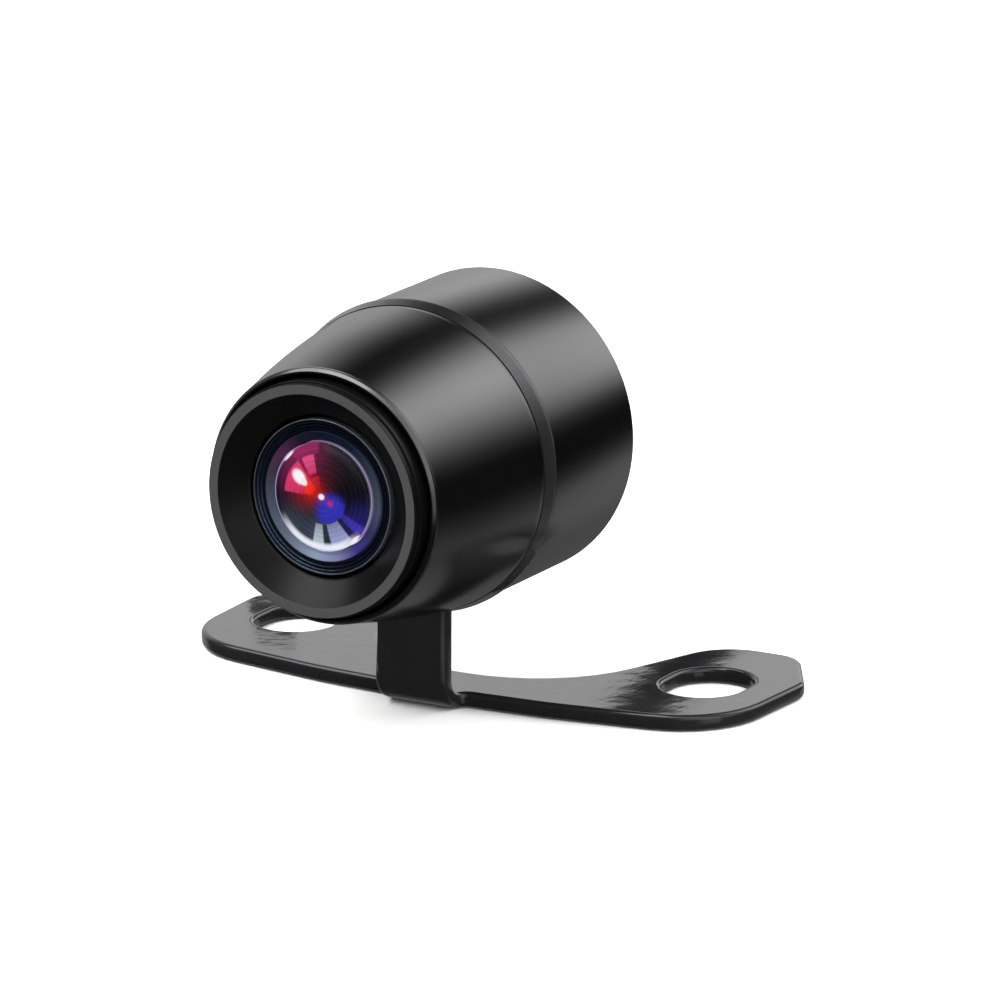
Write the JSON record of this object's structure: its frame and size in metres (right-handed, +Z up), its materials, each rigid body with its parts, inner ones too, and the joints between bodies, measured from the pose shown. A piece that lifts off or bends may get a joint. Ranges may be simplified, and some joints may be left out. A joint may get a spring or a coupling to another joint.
{
  "type": "backup camera",
  "caption": "Round backup camera with a tapered screw-on cap, clamped by its neck in the ring of a stamped butterfly bracket that screws to a vehicle.",
  "frame": {"origin": "centre of the bracket's waist, on the underside that meets the vehicle", "axes": "+X along the bracket from wing to wing, the lens looks along -Y, +Z up from the mounting face"},
  "size_m": [0.0488, 0.0372, 0.0314],
  "materials": {
    "black_painted_steel": "gloss black paint on stamped steel",
    "black_satin_paint": "satin-gloss black paint on turned aluminium",
    "black_moulded_plastic": "satin moulded black ABS",
    "black_rubber": "matte moulded rubber",
    "black_anodised_aluminium": "dark blue-black anodised, finely turned",
    "coated_glass": "polished, anti-reflection coated",
    "filter_glass": "polished blue-green filter glass",
    "black_inner_plastic": "matte moulded black nylon",
    "zinc_plated_steel": "bright zinc plate",
    "green_board": "green solder mask on glass-epoxy",
    "chip_epoxy": "matte black moulding compound",
    "cream_connector_plastic": "natural nylon"
  },
  "bodies": {
    "bracket": {"bracket": "black_painted_steel"},
    "camera_body": {"rear_housing": "black_satin_paint", "cable_grommet": "black_rubber", "lens_seal": "black_rubber", "lens_barrel": "black_anodised_aluminium", "front_glass": "coated_glass", "glass_retainer": "black_anodised_aluminium", "second_element": "coated_glass", "front_spacer": "black_inner_plastic", "middle_element": "coated_glass", "aperture_stop": "black_inner_plastic", "rear_element": "coated_glass", "rear_spacer": "black_inner_plastic", "infrared_filter": "filter_glass", "lens_lock_ring": "zinc_plated_steel", "lens_holder": "black_inner_plastic", "holder_screw_left": "zinc_plated_steel", "holder_screw_right": "zinc_plated_steel", "board_clamp_ring": "black_inner_plastic", "sensor_board": "green_board", "image_sensor": "chip_epoxy", "sensor_glass": "coated_glass", "video_processor": "chip_epoxy", "crystal": "zinc_plated_steel", "board_connector": "cream_connector_plastic", "board_spacer": "black_inner_plastic", "power_board": "green_board", "power_inductor": "chip_epoxy", "smoothing_capacitor": "cream_connector_plastic", "voltage_regulator": "chip_epoxy", "cable_socket": "cream_connector_plastic"},
    "cap_seal": {"cap_seal": "black_rubber"},
    "front_cap": {"front_shell": "black_satin_paint", "bezel_ring": "black_moulded_plastic"}
  },
  "joints": [
    {"name": "barrel_roll", "type": "hinge", "parent": "bracket", "child": "camera_body", "pos_m": [0, -0.0043, 0.0194], "axis": [0, 1, 0], "continuous": true},
    {"name": "cap_advance", "type": "slide", "parent": "camera_body", "child": "cap_seal", "axis": [0, -1, 0], "range_m": [0, 0.00501]},
    {"name": "cap_turn", "type": "hinge", "parent": "cap_seal", "child": "front_cap", "pos_m": [0, -0.0052, 0.0194], "axis": [0, -1, 0], "range_deg": [0, 1800]}
  ],
  "couplings": [
    {"joint": "cap_advance", "follows": "cap_turn", "m_per_rad": 0.00015915}
  ]
}
